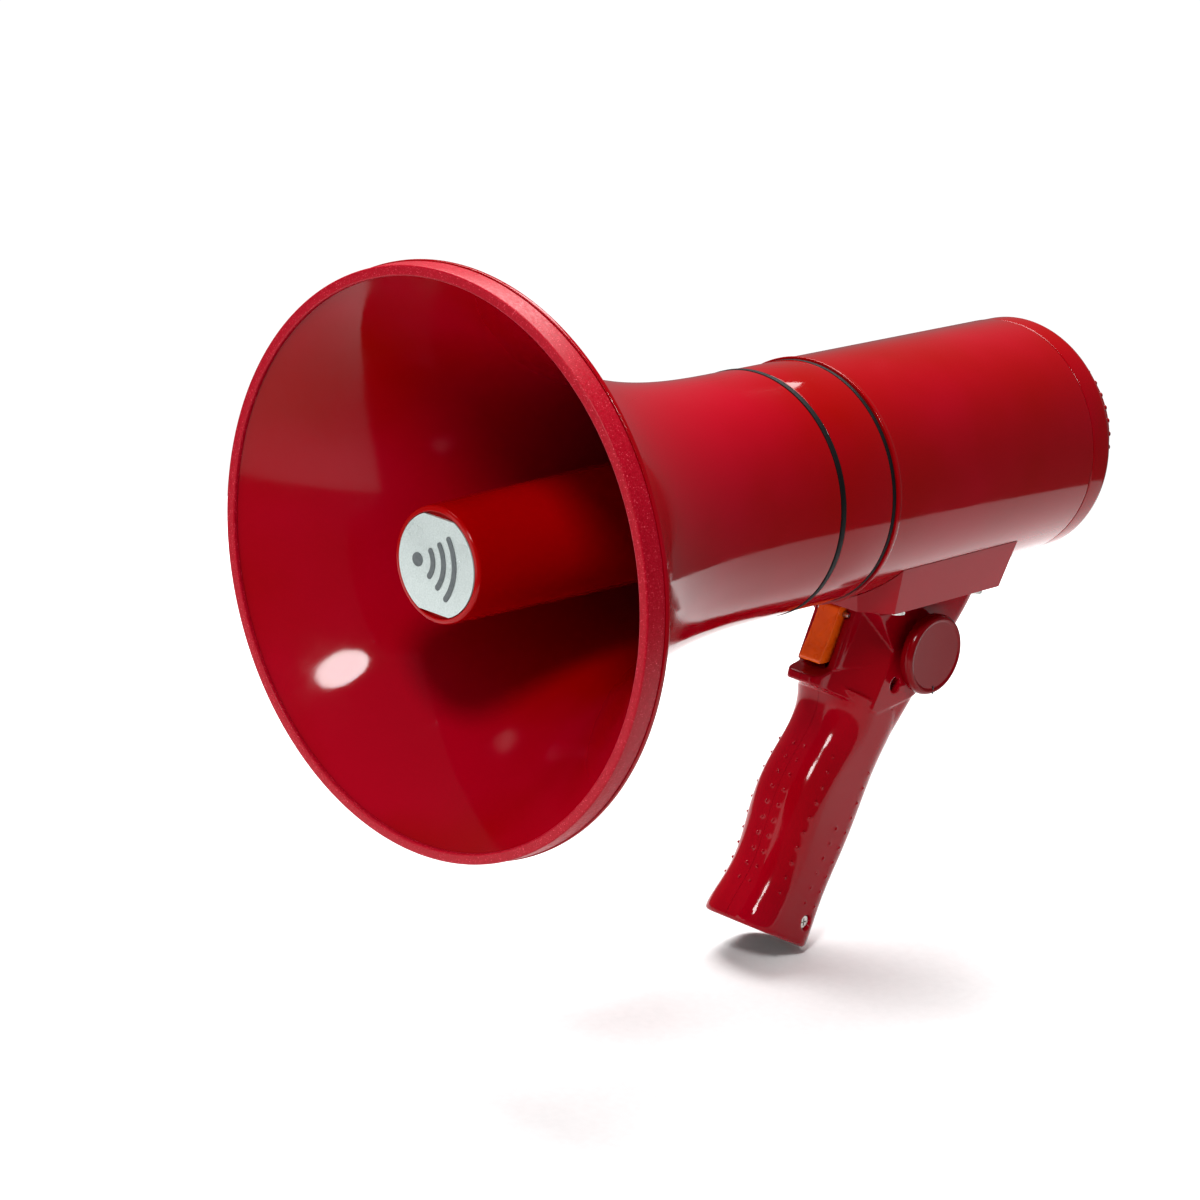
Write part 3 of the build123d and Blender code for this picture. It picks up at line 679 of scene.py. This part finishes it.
def build_lid():
    front, back = span("rear_lid")
    outer = reach("rear_lid")
    collar = span("rear_housing")[1] + 0.4 * MM
    outline = rounded([
        (LID_SKIRT_INNER, front, 0.4 * MM),
        (LID_SKIRT_OUTER, front, 0.4 * MM),
        (LID_SKIRT_OUTER, collar, 0),
        (outer, collar, 0.8 * MM),
        (outer, back - 2.0 * MM, 0.7 * MM),
        (outer - 0.9 * MM, back, 0.8 * MM),
        (LID_OPENING, back, 0.3 * MM),
        (LID_OPENING, back - 2.4 * MM, 0),
        (LID_SHOULDER, back - 2.4 * MM, 0),
        (LID_SHOULDER, LID_SHOULDER_PLACE, 0),
        (LID_SKIRT_INNER, LID_SHOULDER_PLACE, 0),
    ])
    lid = add_mesh("lid", turned(outline), "red_shell", "rear_lid")
    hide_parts("rear_lid")


def build_mic_ring():
    """Guard ring of the microphone with its row of beads."""
    back = span("mic_guard")[1]
    outline = rounded([
        (GUARD_BORE, GUARD_FRONT, 0),
        (GUARD_FLANGE, GUARD_FRONT, 0),
        (GUARD_FLANGE, GUARD_FLANGE_BACK, 0),
        (GUARD_RING, GUARD_FLANGE_BACK, 0),
        (GUARD_RING, back, 0.9 * MM),
        (GUARD_BORE, back, 0.8 * MM),
        (GUARD_BORE, GUARD_LEDGE_BACK, 0),
        (GUARD_LEDGE, GUARD_LEDGE_BACK, 0),
        (GUARD_LEDGE, GUARD_LEDGE_FRONT, 0),
        (GUARD_BORE, GUARD_LEDGE_FRONT, 0),
    ])
    builder = turned(outline)
    circle = GUARD_RING + BEAD_PROUD
    for k in range(BEADS):
        turn = 2 * math.pi * k / BEADS
        place = (circle * math.cos(turn), back - BEAD_SETBACK, circle * math.sin(turn))
        add_bump(builder, place, BEAD_RADIUS)
    guard = add_mesh("mic_ring", builder, "red_shell", "rear_lid")
    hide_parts("mic_guard")


# ------------------------------------------------------------------ controls


def build_knob():
    low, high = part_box("volume_knob")
    centre = (low + high) / 2
    radius = (high.y - low.y) / 2
    outline = rounded([
        (0, low.x + SHAFT_HOLE_DEPTH, 0),
        (SHAFT_HOLE_RADIUS, low.x + SHAFT_HOLE_DEPTH, 0),
        (SHAFT_HOLE_RADIUS, low.x + KNOB_RECESS_DEPTH, 0),
        (KNOB_RECESS_RADIUS, low.x + KNOB_RECESS_DEPTH, 0),
        (KNOB_RECESS_RADIUS, low.x, 0),
        (radius - 0.4 * MM, low.x, 0.6 * MM),
        (radius, high.x - 2.0 * MM, 0.9 * MM),
        (radius - 1.2 * MM, high.x, 1.1 * MM),
        (radius - 2.3 * MM, high.x - 0.1 * MM, 0.5 * MM),
        (radius - 2.8 * MM, high.x - 0.5 * MM, 0.4 * MM),
        (0, high.x - 0.45 * MM, 0),
    ])
    builder = turned(outline, (0, centre.y, centre.z), "X", KNOB_STEPS)
    knob = add_mesh("knob", builder, "knob_red", "volume_knob")
    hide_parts("volume_knob")
    nick = bmesh.new()
    mark = Matrix.Translation((high.x - 0.35 * MM, centre.y, centre.z - radius + 2.2 * MM))
    size = Matrix.Diagonal((0.5 * MM, 0.7 * MM, 3.4 * MM, 1.0))
    bmesh.ops.create_cube(nick, size=1.0, matrix=mark @ size)
    bmesh.ops.bevel(nick, geom=nick.edges[:], offset=0.15 * MM, segments=2, affect="EDGES")
    add_mesh("knob_mark", nick, "black_plastic", "volume_knob")


def build_grip():
    """The two halves with softly rounded edges and a hairline joint between them."""
    whole = softened("grip", ["grip_left", "grip_right"], GRIP_VOXEL, GRIP_SMOOTHING)
    skin = BVHTree.FromBMesh(whole)
    for side, node in ((1, "grip_left"), (-1, "grip_right")):
        half = whole.copy()
        geometry = half.verts[:] + half.edges[:] + half.faces[:]
        cut = bmesh.ops.bisect_plane(
            half,
            geom=geometry,
            plane_co=(side * HALF_JOINT_GAP, 0, 0),
            plane_no=(-side, 0, 0),
            clear_outer=True,
        )
        rim = [item for item in cut["geom_cut"] if isinstance(item, bmesh.types.BMEdge)]
        bmesh.ops.holes_fill(half, edges=rim)
        for place in nub_places(skin):
            add_bump(half, (side * place.x, place.y, place.z), NUB_RADIUS)
        piece = add_mesh(node + "_skin", half, "grip_red")
        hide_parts(node)
    whole.free()


def nub_places(skin):
    """Places on the handle's left side where the rows of small nubs sit."""
    along = Vector((0, -math.sin(GRIP_LEAN), -math.cos(GRIP_LEAN)))
    front = Vector((0, -math.cos(GRIP_LEAN), math.sin(GRIP_LEAN)))
    places = []
    for i in range(NUBS_IN_ROW):
        centre = GRIP_CENTRE + along * (NUB_FIRST + NUB_SPACING * i)
        for turn in NUB_TURNS:
            if turn == SHORT_ROW and i < SHORT_ROW_START:
                continue
            angle = math.radians(turn)
            way = Vector((math.sin(angle), 0, 0)) + front * math.cos(angle)
            hit = skin.ray_cast(centre + way * 60 * MM, -way)[0]
            places.append(hit - way * NUB_SUNK)
    return places


def build_trigger():
    skin = softened("trigger", ["trigger"], TRIGGER_VOXEL, TRIGGER_SMOOTHING)
    piece = add_mesh("trigger_key", skin, "trigger_orange", "trigger")
    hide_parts("trigger")


def soften_cad_edges():
    """Small bevels catch the light on the moulded parts that keep their CAD mesh."""
    for node, width in CAD_BEVELS:
        bevel = frame["nodes"][node].modifiers.new("edge", "BEVEL")
        bevel.width = width * MM
        bevel.segments = 3
        bevel.limit_method = "ANGLE"
        bevel.angle_limit = math.radians(30)
        bevel.harden_normals = True


# ------------------------------------------------------------------ studio


def direction(azimuth, elevation):
    """Unit vector from the object towards a place round it; azimuth 0 is in front of the horn."""
    a = math.radians(azimuth)
    e = math.radians(elevation)
    return Vector((math.sin(a) * math.cos(e), -math.cos(a) * math.cos(e), math.sin(e)))


def add_light(name, place, target, width, power, shape="RECTANGLE"):
    """Soft box as wide as it is high, aimed at a target and never seen directly by the camera."""
    data = bpy.data.lights.new(name, "AREA")
    data.shape = shape
    data.size = width
    if shape == "RECTANGLE":
        data.size_y = width
    data.energy = power
    lamp = bpy.data.objects.new(name, data)
    bpy.context.scene.collection.objects.link(lamp)
    lamp.location = place
    lamp.rotation_euler = (target - place).to_track_quat("-Z", "Y").to_euler()
    lamp.visible_camera = False


def add_world():
    """White backdrop for the camera and one even, dim light from all round for everything else."""
    world = bpy.data.worlds.new("studio")
    bpy.context.scene.world = world
    world.use_nodes = True
    tree = world.node_tree
    path = tree.nodes.new("ShaderNodeLightPath")
    seen = tree.nodes.new("ShaderNodeMix")
    seen.data_type = "RGBA"
    seen.inputs["A"].default_value = (*ROOM_LIGHT, 1.0)
    seen.inputs["B"].default_value = (*BACKDROP, 1.0)
    tree.links.new(path.outputs["Is Camera Ray"], seen.inputs["Factor"])
    tree.links.new(seen.outputs["Result"], tree.nodes["Background"].inputs["Color"])


def add_floor():
    """Round pale floor just below the grip's lowest corner."""
    low = CAD_BOX[0]
    builder = bmesh.new()
    place = Matrix.Translation((*FLOOR_CENTRE, low.z - FLOOR_GAP))
    bmesh.ops.create_circle(builder, cap_ends=True, radius=FLOOR_RADIUS, segments=FLOOR_STEPS, matrix=place)
    mesh = bpy.data.meshes.new("floor")
    builder.to_mesh(mesh)
    builder.free()
    shader = Shader("floor_paper", Roughness=0.9)
    shader.colour(shader.ramp(shader.noise(300.0), [(0.3, (0.87, 0.87, 0.87)), (0.7, (0.90, 0.90, 0.90))]))
    mesh.materials.append(shader.material)
    floor = bpy.data.objects.new("floor", mesh)
    bpy.context.scene.collection.objects.link(floor)


def add_studio():
    """Three soft boxes, an even world and the floor."""
    low, high = CAD_BOX
    middle = (low + high) / 2
    mouth = Vector((0, 0, 0))
    lamp_place = mouth + direction(KEY_AZIMUTH, KEY_ELEVATION) * KEY_DISTANCE
    add_light("key", lamp_place, mouth, KEY_WIDTH, KEY_POWER, "DISK")
    add_light("overhead", middle + OVERHEAD_OFFSET, middle, OVERHEAD_WIDTH, OVERHEAD_POWER)
    add_light("front_fill", FILL_PLACE, mouth, FILL_WIDTH, FILL_POWER)
    add_world()
    add_floor()
    bpy.context.scene.view_settings.view_transform = "Standard"


def add_camera():
    """Camera from its place and its right and up directions in the object's frame."""
    data = bpy.data.cameras.new("camera")
    data.sensor_width = SENSOR
    data.lens = CAMERA_LENS
    data.clip_end = CAMERA_REACH
    camera = bpy.data.objects.new("camera", data)
    bpy.context.scene.collection.objects.link(camera)
    right = Vector(CAMERA_RIGHT)
    up = Vector(CAMERA_UP)
    turn = Matrix((right, up, right.cross(up))).transposed()
    camera.matrix_world = Matrix.Translation(CAMERA_PLACE) @ turn.to_4x4()
    bpy.context.scene.camera = camera


# ------------------------------------------------------------------ build

MATERIALS = make_materials()

dress_cad_nodes()
build_bell()
build_rim()
build_cup()
build_ring("front_seal", "front_gasket", "black_rubber", 3.1 * MM, 0.5 * MM)
build_speaker_housing()
build_ring("rear_seal", "rear_gasket", "black_rubber", 2.8 * MM, 0.4 * MM)
build_rear_housing()
build_lid()
build_mic_ring()
build_knob()
build_grip()
build_trigger()
soften_cad_edges()
add_studio()
add_camera()
